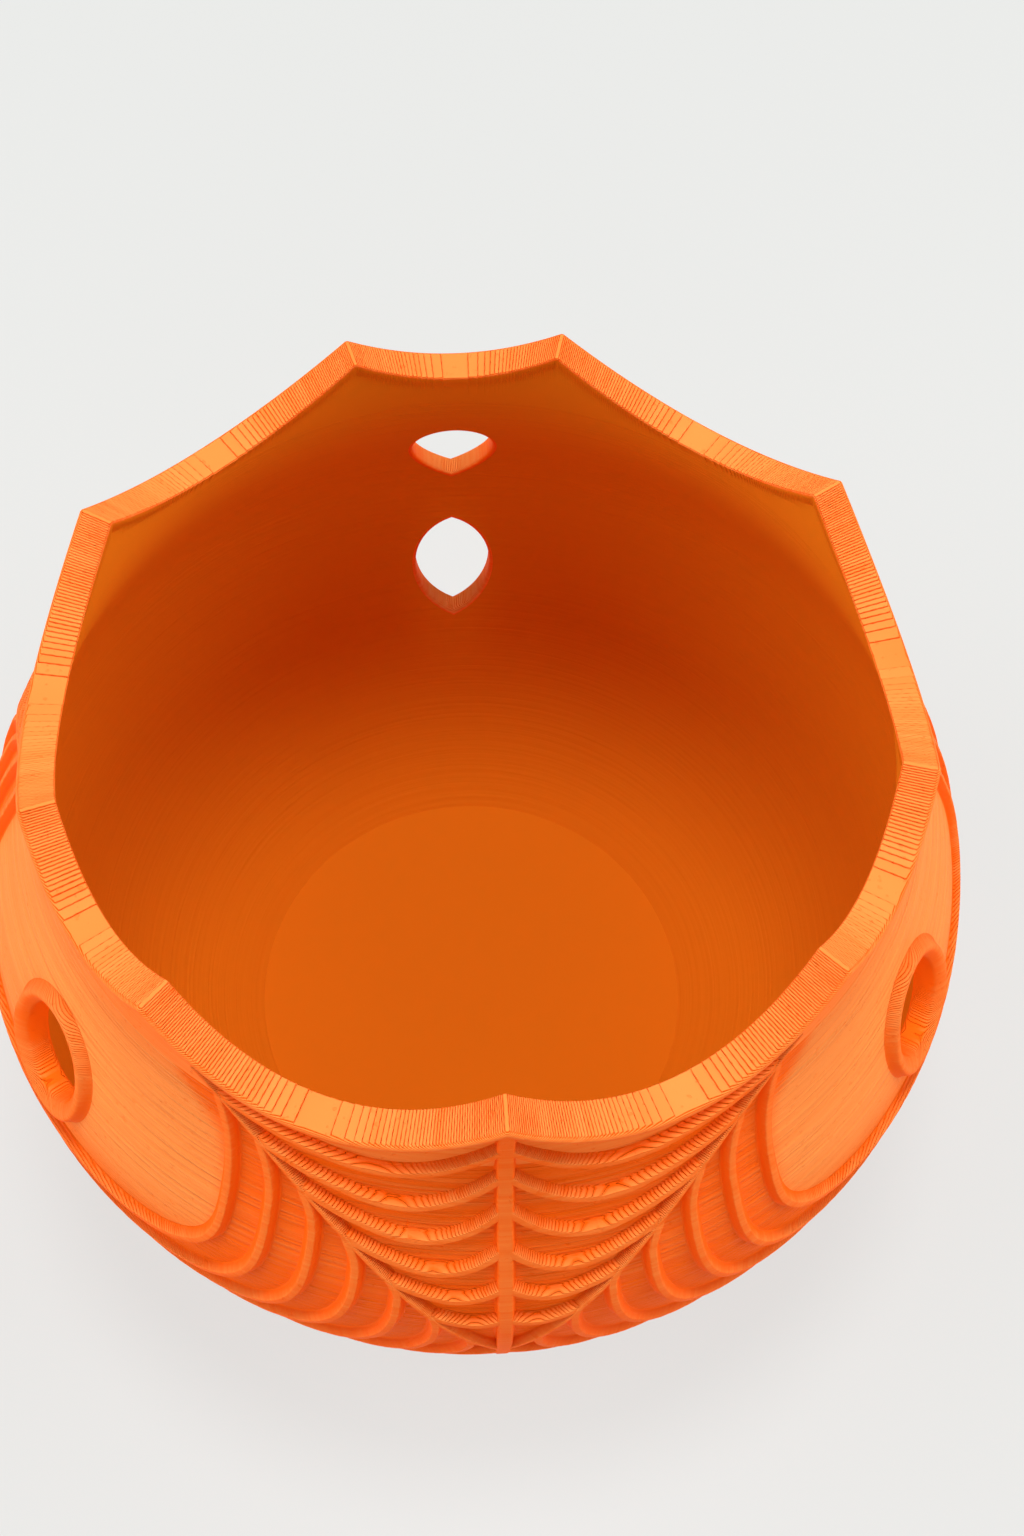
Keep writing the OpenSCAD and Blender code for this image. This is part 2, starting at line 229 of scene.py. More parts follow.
def diagonal_path(angle, side):
    rim_top = scallop(diagonal_angle(web_top_depth + lip_height))
    top = lip_height * under_lip_share + vase_height - rim_top
    depths = [top + (hub_depth - top) * t for t in steps(path_steps)]
    return [(angle + side * diagonal_angle(depth), vase_height - depth) for depth in depths]


def sagging(share, start, lowest, end):
    """Depth of a thread: it falls from the spine, then rises to the diagonal."""
    if share < lowest_place:
        return lowest - (lowest - start) * (1 - share / lowest_place) ** spine_curve
    rising = (share - lowest_place) / (1 - lowest_place)
    return lowest - (lowest - end) * rising ** diagonal_curve


def thread_path(angle, side, k):
    start, end = spaced(spine_spacing, k), spaced(diagonal_spacing, k)
    lowest = start + sag_shares[k - 1] * diagonal_reach(end)
    reach = diagonal_angle(end)
    return [
        (angle + side * reach * t, vase_height - sagging(t, start, lowest, end))
        for t in steps(path_steps)
    ]


def loop_half(k):
    """Half a loop, from its start to its lowest point, as (angle from the hole, depth)."""
    bottom = loop_bottom + loop_pitch * (k - 1)
    half_sector = sector_angle / 2
    if k > diagonal_threads:
        depth = spaced(spine_spacing, k)
        return [
            (half_sector * (1 - t), bottom - (bottom - depth) * (1 - t) ** hanging_curve)
            for t in steps(path_steps)
        ]
    depth = spaced(diagonal_spacing, k)
    start = half_sector - diagonal_angle(depth)
    bulge = first_bulge - bulge_step * (k - 1)
    widest_depth = max(depth, loop_widest_depths[k - 1])
    power = 2 / loop_squareness[k - 1]
    widest = start + bulge
    upper = [
        (widest - bulge * (1 - t) ** 2, depth + (widest_depth - depth) * t)
        for t in steps(loop_side_steps)[:-1]
    ]
    lower = []
    for t in steps(loop_bottom_steps):
        turn = t * math.pi / 2
        across = max(0.0, math.cos(turn)) ** power
        down = math.sin(turn) ** power
        lower.append((widest * across, widest_depth + (bottom - widest_depth) * down))
    return (upper if widest_depth > depth else []) + lower


def lens_x(y, half_width, reach):
    """Half width at a height of a lens that comes to a point at its reach."""
    bow = (reach ** 2 + half_width ** 2) / (2 * half_width)
    return math.sqrt(bow ** 2 - y ** 2) - bow + half_width


def clear_of_back_holes(angle, depth):
    x = abs(math.radians(angle)) * outer_radius(vase_height - depth)
    margin = 0.6 * MM
    low_margin = 1.6 * MM
    below = depth - back_hole_depth
    width = hole_half_width + collar_width + margin
    rise = back_hole_rise + collar_width * rise_share + margin
    tip = back_hole_tip + collar_width * tip_share + margin
    if -rise < below < 0 and x < width * math.sqrt(1 - (below / rise) ** 2):
        return False
    if 0 <= below < tip and x < lens_x(below, width, tip):
        return False
    low_width = hole_half_width + low_margin
    low_rise = low_hole_half_height + low_margin
    return math.hypot(x / low_width, (depth - low_hole_depth) / low_rise) > 1


def loop_paths(hole_angle, k):
    """The loop as one path with its ends, or as two where a hole at the back breaks it."""
    half = [p for p in loop_half(k) if vase_height - p[1] > foot_clear]
    if hole_angle == BACK_HOLE:
        half = [p for p in half if clear_of_back_holes(*p)]
    right = [(hole_angle + a, vase_height - d) for a, d in half]
    left = [(hole_angle - a, vase_height - d) for a, d in half]
    joint = "square" if k > diagonal_threads else "blunt"
    reaches_middle = half[-1][0] < 0.01
    if reaches_middle:
        return [(right + left[-2::-1], (joint, joint))]
    return [(right, (joint, "open")), (left, (joint, "open"))]


def running_lengths(places):
    """Length along the places from the first one to each."""
    lengths = [0.0]
    for a, b in zip(places, places[1:]):
        lengths.append(lengths[-1] + (b - a).length)
    return lengths


def even_path(path, step, first_cut=0.0, last_cut=0.0):
    """The path at equal distances along the wall, with a length cut off at each end."""
    lengths = running_lengths([on_wall(*p) for p in path])
    total = lengths[-1] - first_cut - last_cut
    count = max(2, round(total / step))
    even = []
    j = 0
    for i in range(count + 1):
        want = first_cut + total * i / count
        while j < len(path) - 2 and lengths[j + 1] < want:
            j += 1
        t = (want - lengths[j]) / (lengths[j + 1] - lengths[j])
        even.append(tuple(p + (q - p) * t for p, q in zip(path[j], path[j + 1])))
    return even


# Making meshes

def mesh_object(name, bm):
    mesh = bpy.data.meshes.new(name)
    bm.to_mesh(mesh)
    bm.free()
    made = bpy.data.objects.new(name, mesh)
    bpy.context.collection.objects.link(made)
    return made


def finished(name, bm, material, sharp_angle=None):
    bmesh.ops.recalc_face_normals(bm, faces=bm.faces)
    for face in bm.faces:
        face.smooth = True
    piece = mesh_object(name, bm)
    if sharp_angle:
        piece.data.set_sharp_from_angle(angle=math.radians(sharp_angle))
    piece.data.materials.append(material)
    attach(piece, "root")
    return piece


def grid_shape(bm, across, along, place, weld_distance=weld):
    """A grid whose vertex (i, j) is moved to place(i, j), with the meeting ones merged."""
    made = bmesh.ops.create_grid(bm, x_segments=across, y_segments=along, size=1)
    for index, vert in enumerate(made["verts"]):
        vert.co = place(index % (across + 1), index // (across + 1))
    bmesh.ops.remove_doubles(bm, verts=made["verts"], dist=weld_distance)


def open_edges(bm):
    return [edge for edge in bm.edges if edge.is_boundary]


def mark(piece, name, value_at):
    """Writes a number from 0 to 1 for the material at each point of the mesh."""
    marks = piece.data.attributes.new(name, "FLOAT", "POINT")
    for vert, item in zip(piece.data.vertices, marks.data):
        item.value = min(1.0, max(0.0, float(value_at(vert.co))))


def depth_under_crest(p):
    """0 on a strand's crest, 1 at its foot."""
    lift = (math.hypot(p.x, p.y) - outer_radius(p.z)) * wall_normal(p.z)[0]
    return 1 - lift / relief


# Strands

edge_turn = math.radians(70)
edge_steps = 4
fillet_steps = 4
fillet = 0.35 * MM
fillet_inset = 0.6
fillet_sink = 0.02 * MM
root_inset = 0.1 * MM
root_depth = 0.3 * MM


def strand_section(crest_half, round_edge, flank_top, flank_foot):
    """A strand's outline from foot to foot, as (side, lift).

    Each side has the crest, a rounded edge, a flank, a fillet and a root in the wall.
    """
    half = [Vector((0, relief)), Vector((crest_half, relief))]
    for t in steps(edge_steps)[1:]:
        turn = edge_turn * t
        half.append(Vector((
            crest_half + (flank_top - crest_half) * math.sin(turn) / math.sin(edge_turn),
            relief - round_edge * (1 - math.cos(turn)) / (1 - math.cos(edge_turn)),
        )))
    foot_start = Vector((flank_foot - fillet * fillet_inset, fillet))
    half.append((half[-1] + foot_start) / 2)
    for t in steps(fillet_steps):
        turn = t * math.pi / 2
        half.append(Vector((
            foot_start.x + fillet * (1 - math.cos(turn)),
            foot_start.y - (fillet + fillet_sink) * math.sin(turn),
        )))
    half.append(Vector((half[-1].x - root_inset, -root_depth)))
    return [Vector((-p.x, p.y)) for p in half[:0:-1]] + half


SPINE = strand_section(
    crest_half=0.6 * MM, round_edge=0.38 * MM, flank_top=1.1 * MM, flank_foot=1.26 * MM)
THREAD = strand_section(
    crest_half=0.34 * MM, round_edge=0.18 * MM, flank_top=0.56 * MM, flank_foot=1.2 * MM)
RIDGE = strand_section(
    crest_half=0.1 * MM, round_edge=0.24 * MM, flank_top=0.36 * MM, flank_foot=1.1 * MM)
strand_step = 0.6 * MM
swell = 0.09 * MM
swell_scale = 0.75 / MM
side_shifts = (0, 40)
slant_trim = 0.1 * MM

# How far each kind of end dips, and over what length. An open end doesn't.
END_DIPS = {
    "open": (0.0, 1.2 * MM),
    "square": (0.06 * MM, 2.4 * MM),
    "blunt": (0.3 * MM, 1.5 * MM),
}

# Points along every strand, which make_bowl reads for the painted shade on the wall between strands
strand_lines = []


def swelling(p):
    """The plastic's unevenness on each side of a strand's crest."""
    place = p * swell_scale
    return [swell * noise.noise(place + Vector((shift, 0, 0))) for shift in side_shifts]


def end_dip(ends, distances):
    dip = 0.0
    for end, distance in zip(ends, distances):
        deepest, length = END_DIPS[end]
        dip = max(dip, deepest * (1 - distance / length))
    return dip


def add_strand(bm, path, section, ends):
    """A strand swept along a path on the wall.

    Each end is "square" where it crosses another strand's crest, "blunt" where it runs
    aslant into one and sinks under its crest, or "open".
    """
    cuts = [slant_trim if end == "blunt" else 0.0 for end in ends]
    rings = even_path(path, strand_step, *cuts)
    places = [on_wall(*p) for p in rings]
    lengths = running_lengths(places)
    last = len(rings) - 1
    sides = len(section)
    frames = []
    for i, p in enumerate(places):
        along = (places[min(i + 1, last)] - places[max(i - 1, 0)]).normalized()
        up = (on_wall(*rings[i], 1 * MM) - p).normalized()
        dip = end_dip(ends, (lengths[i], lengths[-1] - lengths[i]))
        frames.append((p, up, up.cross(along).normalized(), dip, swelling(p)))

    def place(j, i):
        p, up, side, dip, swells = frames[i]
        point = section[j % sides]
        high = max(0.0, point.y / relief)
        wider = swells[0 if point.x > 0 else 1] * high
        lower = (abs(swells[0]) + abs(swells[1])) * high / 2
        return p + side * (point.x + math.copysign(wider, point.x)) + up * (point.y - dip - lower)

    grid_shape(bm, sides, last, place)
    bmesh.ops.holes_fill(bm, edges=open_edges(bm))


def strands(name, paths, section, material):
    """One piece of several strands, each given as its path and its two ends."""
    bm = bmesh.new()
    for path, ends in paths:
        add_strand(bm, path, section, ends)
        strand_lines.append([on_wall(*p) for p in path])
    piece = finished(f"{name}_print", bm, material)
    # Painted shade down a strand's flanks, deepest at its foot
    mark(piece, "crease_shade", depth_under_crest)
    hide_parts(name)


# Holes

def side_outline(grow):
    """Points (x, up) round a side hole, grown sideways by a length and less upwards."""
    wide = hole_half_width + grow
    tall = hole_half_height + grow * rise_share
    count = 72
    turns = [math.tau * i / count for i in range(count)]
    return [Vector((wide * math.cos(turn), tall * math.sin(turn))) for turn in turns]


def pointed_outline(grow):
    """Points round the upper back hole: round above, pointed below."""
    wide = hole_half_width + grow
    rise = back_hole_rise + grow * rise_share
    tip = back_hole_tip + grow * tip_share
    arc_steps = 40
    side_steps = 16
    turns = [math.pi * t for t in steps(arc_steps)]
    arc = [Vector((wide * math.cos(turn), rise * math.sin(turn))) for turn in turns]
    left = [Vector((-lens_x(tip * t, wide, tip), -tip * t)) for t in steps(side_steps)[1:]]
    right = [Vector((-p.x, p.y)) for p in reversed(left[:-1])]
    return arc + left + right


def lens_outline(grow):
    """Points round the lower back hole, which is pointed above and below."""
    wide = hole_half_width + grow
    tall = low_hole_half_height + grow * tip_share
    side_steps = 32
    heights = [tall * (2 * t - 1) for t in steps(side_steps)[:-1]]
    right = [Vector((lens_x(y, wide, tall), y)) for y in heights]
    return right + [-p for p in right]


def hole_cutter(name, angle, depth, outline):
    bm = bmesh.new()
    inside = 45 * MM
    outside = 80 * MM
    verts = [bm.verts.new((inside, p.x, vase_height - depth + p.y)) for p in outline]
    face = bm.faces.new(verts)
    made = bmesh.ops.extrude_face_region(bm, geom=[face])
    moved = [g for g in made["geom"] if isinstance(g, bmesh.types.BMVert)]
    bmesh.ops.translate(bm, verts=moved, vec=(outside - inside, 0, 0))
    turn = Matrix.Rotation(math.radians(angle), 3, "Z")
    bmesh.ops.rotate(bm, verts=bm.verts, cent=(0, 0, 0), matrix=turn)
    bmesh.ops.recalc_face_normals(bm, faces=bm.faces)
    return mesh_object(name, bm)


def make_sleeve(name, angle, depth, outline_at, profile, material):
    """A ring through the wall.

    Its profile is (growth, place through the wall, lift), from inside the vase outwards.
    """
    outlines = [outline_at(row[0]) for row in profile]
    count = len(outlines[0])
    turn = Matrix.Rotation(math.radians(angle), 3, "Z")

    def place(i, j):
        grow, through, lift = profile[j]
        p = outlines[j][i % count]
        z = vase_height - depth + p.y
        outside = math.sqrt((outer_radius(z) + lift / wall_normal(z)[0]) ** 2 - p.x ** 2)
        inside = math.sqrt(inner_radius(z) ** 2 - p.x ** 2)
        return turn @ Vector((inside + (outside - inside) * through, p.x, z))

    bm = bmesh.new()
    grid_shape(bm, count, len(profile) - 1, place)
    bmesh.ops.bridge_loops(bm, edges=open_edges(bm))
    return finished(f"{name}_print", bm, material, sharp_angle=50)


def sleeve_profile(outer):
    """From inside the vase through the bore, then over the outer edge given as (growth, lift)."""
    inner = [(0.8, 0.03, 0), (0.62, -0.006, 0), (0.42, 0.002, 0), (0.2, 0.04, 0), (0.06, 0.1, 0)]
    bore = [(0, 0.2, 0), (0, 0.45, 0), (0, 0.7, 0), (0, 0.88, 0)]
    over = [(grow, 1, lift) for grow, lift in outer]
    return [(grow * MM, through, lift * MM) for grow, through, lift in inner + bore + over]


COLLAR = sleeve_profile([
    (0.02, -0.05), (0.1, 0.18), (0.28, 0.38), (0.55, 0.6), (0.9, 0.88), (1.25, 1.12), (1.55, 1.27),
    (1.8, 1.35), (2.05, 1.36), (2.28, 1.3), (2.46, 1.14), (2.62, 0.88), (2.8, 0.58), (2.98, 0.3),
    (3.16, 0.1), (3.36, 0.01), (3.38, -0.3),
])
PLAIN_EDGE = sleeve_profile([(0.06, -0.2), (0.2, -0.06), (0.42, 0.01), (0.62, 0.015), (0.8, -0.2)])


# Bowl

bowl_step = 1.25 * MM
bowl_turns = 360
bowl_sharp_angle = 25
floor_rings = 14
under_rings = 4
sleeve_room = 0.5 * MM
inside_edge = 0.5 * MM
floor_edge = 0.1 * MM
# The painted shade on the wall between strands: full where the second nearest strand is within the
# start, none beyond the end
web_shade_start = 5.6 * MM
web_shade_end = 8 * MM


def profile_steps(low, high, step):
    count = max(1, math.ceil((high - low) / step))
    return [low + (high - low) * i / count for i in range(count + 1)]


def bowl_outline():
    """The wall and floor as (radius, z), from the middle underneath round to the middle inside."""
    outside = [(outer_radius(z), z) for z in profile_steps(0, seat_z, bowl_step)]
    inside = [(inner_radius(z), z) for z in profile_steps(floor_thickness, seat_z, bowl_step)]
    floor = [(inside[0][0] * (1 - t), floor_thickness) for t in steps(floor_rings)]
    under = [(outside[0][0] * t, 0) for t in steps(under_rings)]
    return under + outside[1:] + inside[::-1] + floor[1:]


def spun(bm, outline):
    """Spins an outline once round the axis."""
    verts = [bm.verts.new((r, 0, z)) for r, z in outline]
    edges = [bm.edges.new(pair) for pair in zip(verts, verts[1:])]
    bmesh.ops.spin(
        bm, geom=verts + edges, cent=(0, 0, 0), axis=(0, 0, 1), angle=math.tau,
        steps=bowl_turns, use_merge=True,
    )
    bmesh.ops.remove_doubles(bm, verts=bm.verts, dist=weld)


def cut_holes(bowl):
    """Cuts the four holes, a little wide for their sleeves."""
    cutters = [
        hole_cutter("cut_right", RIGHT_HOLE, hole_depth, side_outline(sleeve_room)),
        hole_cutter("cut_left", LEFT_HOLE, hole_depth, side_outline(sleeve_room)),
        hole_cutter("cut_back", BACK_HOLE, back_hole_depth, pointed_outline(sleeve_room)),
        hole_cutter("cut_low_back", BACK_HOLE, low_hole_depth, lens_outline(sleeve_room)),
    ]
    for cutter in cutters:
        cut = bowl.modifiers.new(cutter.name, "BOOLEAN")
        cut.operation = "DIFFERENCE"
        cut.solver = "EXACT"
        cut.object = cutter
    bpy.context.view_layer.update()
    graph = bpy.context.evaluated_depsgraph_get()
    cut_mesh = bpy.data.meshes.new_from_object(bowl.evaluated_get(graph))
    bowl.modifiers.clear()
    bowl.data = cut_mesh
    for cutter in cutters:
        bpy.data.objects.remove(cutter)


def strand_tree():
    """The points of all strands, each with its strand's number."""
    web = KDTree(sum(len(line) for line in strand_lines))
    for number, line in enumerate(strand_lines):
        for p in line:
            web.insert(p, number)
    web.balance()
    return web


def shade_between_strands(web, p):
    """Painted shade on the wall: 1 where two strands are near, 0 in the open wall."""
    nearest = {}
    for _, number, distance in web.find_range(p, web_shade_end):
        nearest[number] = min(distance, nearest.get(number, distance))
    if len(nearest) < 2:
        return 0.0
    second = sorted(nearest.values())[1]
    return (web_shade_end - second) / (web_shade_end - web_shade_start)


# The inside, which gets painted shade, rougher plastic and weaker lines, without steps or pits
def inside_bowl(p):
    above_floor = p.z > floor_thickness - floor_edge
    return above_floor and math.hypot(p.x, p.y) < outer_radius(p.z) - wall + inside_edge


def make_bowl(material):
    """The wall and floor as one shell."""
    bm = bmesh.new()
    spun(bm, bowl_outline())
    bowl = finished("bowl_shell", bm, material)
    cut_holes(bowl)
    bowl.data.set_sharp_from_angle(angle=math.radians(bowl_sharp_angle))
    web = strand_tree()
    # Painted shade on the wall between strands
    mark(bowl, "crease_shade", lambda p: shade_between_strands(web, p))
    mark(bowl, "inside", inside_bowl)
    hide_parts("bowl_wall", "floor_disc")


# Rim

# The steps of its top: half a riser's width, a notch at its foot, and the longest plain tread
riser_half = 0.1 * MM
notch = 0.16 * MM
notch_place = 0.4
riser_middle = 0.6
tread = 0.9 * MM
waver = 0.03 * MM
waver_across = 4.1
waver_up = 2.3

# Its crown reaches further inwards than the neck, and blends into it
crown_inward = 0.65 * MM
crown_blend = 3.2 * MM
inner_edge = 0.3 * MM
inner_edge_share = 0.8
inner_edge_rows = 3
flat_rows = 6
inner_rows = (1.0, 0.75, 0.5, 0.33, 0.2, 0.1, 0.04)
rim_middle = (inner_radius(vase_height) + neck_radius) / 2
inside_drop = 0.5 * MM

# Its outer lip is rounded above and curls in below
round_edge = 0.75 * MM
round_rows = 6
smoothing = 2.5
lip_straight = 0.3 * MM
lip_clear = 0.3 * MM
lip_curl = (0.8, 1.2)
lip_rows = 5
skirt_rows = 3


def half_scallop(half_angle, sag):
    """Half a scallop's stepped top from its valley up, as (share of the half angle, level)."""
    reach = math.radians(half_angle) * rim_radius
    valley = vase_height - sag
    count = round(sag / layer)
    risers = [math.sqrt((j + 0.5) * layer / (sag + tip_over)) for j in range(count + 1)]
    step = riser_half / reach
    places = [(0.0, valley)]
    for j in range(count):
        here, ahead = risers[j], risers[j + 1]
        low = valley + j * layer
        places += [
            (here - step, low),
            (here - step * notch_place, low - notch),
            (here, low + layer * riser_middle),
            (here + step, low + layer),
        ]
        extra = int((ahead - here) * reach / tread) if j < count - 1 else 0
        places += [
            (here + (ahead - here) * (n + 1) / (extra + 1), low + layer) for n in range(extra)
        ]
    return places


def rim_columns():
    """The rim's columns as (angle, level), where level is the stepped height of its top."""
    columns = []
    edge = 0.0
    for width, sag in scallops:
        half = width / 2
        centre = edge + half
        places = half_scallop(half, sag)
        columns += [(centre - half * u, level) for u, level in reversed(places)]
        columns += [(centre + half * u, level) for u, level in places[1:]]
        edge += width
        columns.append((edge, vase_height))
    return [
        (sector * sector_angle + angle, level)
        for sector in range(sectors) for angle, level in columns
    ]


def crown_rows():
    """Rows from the inner wall over the rim's top: (radius, drop, how smooth)."""
    inner = inner_radius(vase_height) - crown_inward
    rows = []
    for t in steps(inner_edge_rows):
        turn = t * math.pi / 2
        radius = inner + inner_edge * (1 - math.cos(turn)) * inner_edge_share
        rows.append((radius, inner_edge * (1 - math.sin(turn)), 0.0))
    flat_start = rows[-1][0]
    flat_end = rim_radius - round_edge
    rows += [(flat_start + (flat_end - flat_start) * t, 0.0, 0.0) for t in steps(flat_rows)[1:]]
    for t in steps(round_rows)[1:]:
        turn = t * math.pi / 2
        radius = flat_end + round_edge * math.sin(turn)
        rows.append((radius, round_edge * (1 - math.cos(turn)), min(1.0, smoothing * t)))
    return rows


def rim_column(column, level, crown):
    """The points of one column, from the rim's seat inside over the crown to its seat outside."""
    top = scallop(column)
    angle = FRONT + column
    points = []

    start = level - crown[0][1]
    for t in inner_rows:
        z = start - (start - seat_z) * t
        below = min(1.0, (start - z) / crown_blend)
        radius = inner_radius(z) - crown_inward * (1 + math.cos(math.pi * below)) / 2
        points.append(at_angle(radius, angle, z))

    for radius, drop, smooth in crown:
        phase = radius / MM * waver_across + level / layer * waver_up
        shift = math.sin(phase) * waver * (1 - smooth)
        z = level + (top - level) * smooth - drop
        points.append(at_angle(radius, angle + math.degrees(shift / radius), z))

    low = max(top - lip_height, seat_z + lip_clear)
    start = top - crown[-1][1] - lip_straight
    foot = outer_radius(low)
    for t in steps(lip_rows)[1:]:
        turn = t * math.pi / 2
        radius = foot + (rim_radius - foot) * math.cos(turn) ** lip_curl[0]
        points.append(at_angle(radius, angle, start - (start - low) * math.sin(turn) ** lip_curl[1]))

    for row in range(1, skirt_rows + 1):
        z = low - (low - seat_z) * row / skirt_rows
        points.append(at_angle(outer_radius(z), angle, z))
    return points


# The inside, which gets painted shade, rougher plastic and weaker lines, without steps or pits
def inside_rim(p):
    top = scallop(math.degrees(math.atan2(p.y, p.x)) - FRONT)
    return math.hypot(p.x, p.y) < rim_middle and p.z < top - inside_drop


def make_rim(material):
    crown = crown_rows()
    columns = [rim_column(column, level, crown) for column, level in rim_columns()]
    count = len(columns)
    bm = bmesh.new()
    grid_shape(bm, count, len(columns[0]) - 1, lambda i, j: columns[i % count][j], fine_weld)
    bmesh.ops.bridge_loops(bm, edges=open_edges(bm))
    rim = finished("rim_crown", bm, material, sharp_angle=35)
    mark(rim, "inside", inside_rim)
    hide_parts("scalloped_rim")


# Materials

class NodeMaker:
    """Adds nodes to the tree of a material or of the world."""

    def __init__(self, owner):
        owner.use_nodes = True
        self.tree = owner.node_tree
        self.tree.nodes.clear()

    def node(self, kind):
        return self.tree.nodes.new(f"ShaderNode{kind}")

    def put(self, value, socket):
        """Sets a socket to a value, or links it to another node's output."""
        if isinstance(value, bpy.types.NodeSocket):
            self.tree.links.new(value, socket)
        else:
            socket.default_value = value

    def maths(self, operation, *values):
        node = self.node("Math")
        node.operation = operation
        for socket, value in zip(node.inputs, values):
            self.put(value, socket)
        return node.outputs[0]

    def times(self, first, second):
        return self.maths("MULTIPLY", first, second)

    def plus(self, first, second):
        return self.maths("ADD", first, second)

    def minus(self, first, second):
        return self.maths("SUBTRACT", first, second)

    def clouds(self, scale, detail, vector):
        node = self.node("TexNoise")
        self.put(scale, node.inputs["Scale"])
        self.put(detail, node.inputs["Detail"])
        self.put(vector, node.inputs["Vector"])
        return node.outputs[0]

    def mixed(self, share, first, second):
        """Two colours mixed. The sockets are taken by number, as several share a name."""
        node = self.node("Mix")
        node.data_type = "RGBA"
        self.put(share, node.inputs[0])
        self.put(first, node.inputs[6])
        self.put(second, node.inputs[7])
        return node.outputs[2]

    def rising(self, value, low, high, interpolation="LINEAR"):
        """0 under low, 1 over high."""
        node = self.node("MapRange")
        node.interpolation_type = interpolation
        self.put(value, node.inputs["Value"])
        self.put(low, node.inputs["From Min"])
        self.put(high, node.inputs["From Max"])
        return node.outputs["Result"]

    def upward_part(self, vector):
        node = self.node("SeparateXYZ")
        self.put(vector, node.inputs[0])
        return node.outputs["Z"]

    def marked(self, name):
        """The number that mark() wrote on the mesh."""
        node = self.node("Attribute")
        node.attribute_name = name
        return node.outputs["Fac"]

    def output(self, kind, shader):
        self.put(shader, self.node(kind).inputs[0])


# light_orange and deep_orange are the ends of one mix: painted light on upward faces, painted shade
# in creases, pits and grooves, and random patches of tone
light_orange = (1.0, 0.285, 0.06, 1)
deep_orange = (0.99, 0.125, 0.003, 1)
# A deeper copy of the orange for the inside: painted shade of the hollow
shaded_inside_orange = (0.77, 0.193, 0.007, 1)

# Kinds of noise, as (scale, detail)
band_clouds = (1, 3)
tone_clouds = (45, 5)
waver_clouds = (330, 3)
pit_clouds = (1100, 1)
grain_clouds = (1500, 4)

# The level lines: noise squeezed into bands, weaker inside the vase
band_squeeze = (22, 22, 2100)
band_inside_share = 0.25

# The plastic's grain and pits, and how the layers waver up and down
grain_depth = 0.01 * MM
pit_depth = 0.06 * MM
pit_range = (0.68, 0.74)
layer_waver = 0.1 * MM

# The layers' steps: their rise is short on shallow slopes, and long on steep ones
least_upward = 0.12
rise_per_slope = 0.14
least_rise = 0.04
most_rise = 0.4

# Where the painted shade of the groove between two layers lies, as shares of a layer, and the faces
# that get it
groove_range = (0.15, 0.42)
sloping_range = (0.25, 0.45)

# What makes the colour lighter or deeper: painted light on upward faces, random patches, painted
# shade in creases and pits
top_light = 0.9
tone_light = 0.3
band_light = 0.9
patch_middle = 0.64
crease_shade_deep = 0.75
pit_shade = 0.2

# Roughness and gloss
plain_rough = 0.5
tone_rough = 0.12
inside_rough = 0.2
gloss = 0.03


def layer_steps(make, layer_place, upward):
    """Height of the layers' steps over the even slope: level, then a rise."""
    upward = make.maths("MAXIMUM", upward, least_upward)
    level_part = make.maths("SQRT", make.minus(1.0, make.times(upward, upward)))
    slope = make.maths("DIVIDE", level_part, upward)
    rise = make.plus(make.times(slope, rise_per_slope), least_rise)
    half_rise = make.maths("MINIMUM", rise, most_rise)
    low, high = make.minus(0.5, half_rise), make.plus(0.5, half_rise)
    risen = make.rising(layer_place, low, high, "SMOOTHSTEP")
    return make.times(make.times(make.minus(risen, layer_place), layer), upward)


def layer_groove_shade(make, layer_place, upward):
    """Where the painted shade goes: 1 in the groove between two layers on a sloping face."""
    to_middle = make.minus(make.maths("FRACT", make.plus(layer_place, 0.5)), 0.5)
    groove = make.rising(make.maths("ABSOLUTE", to_middle), *groove_range, "SMOOTHSTEP")
    return make.times(groove, make.rising(upward, *sloping_range))


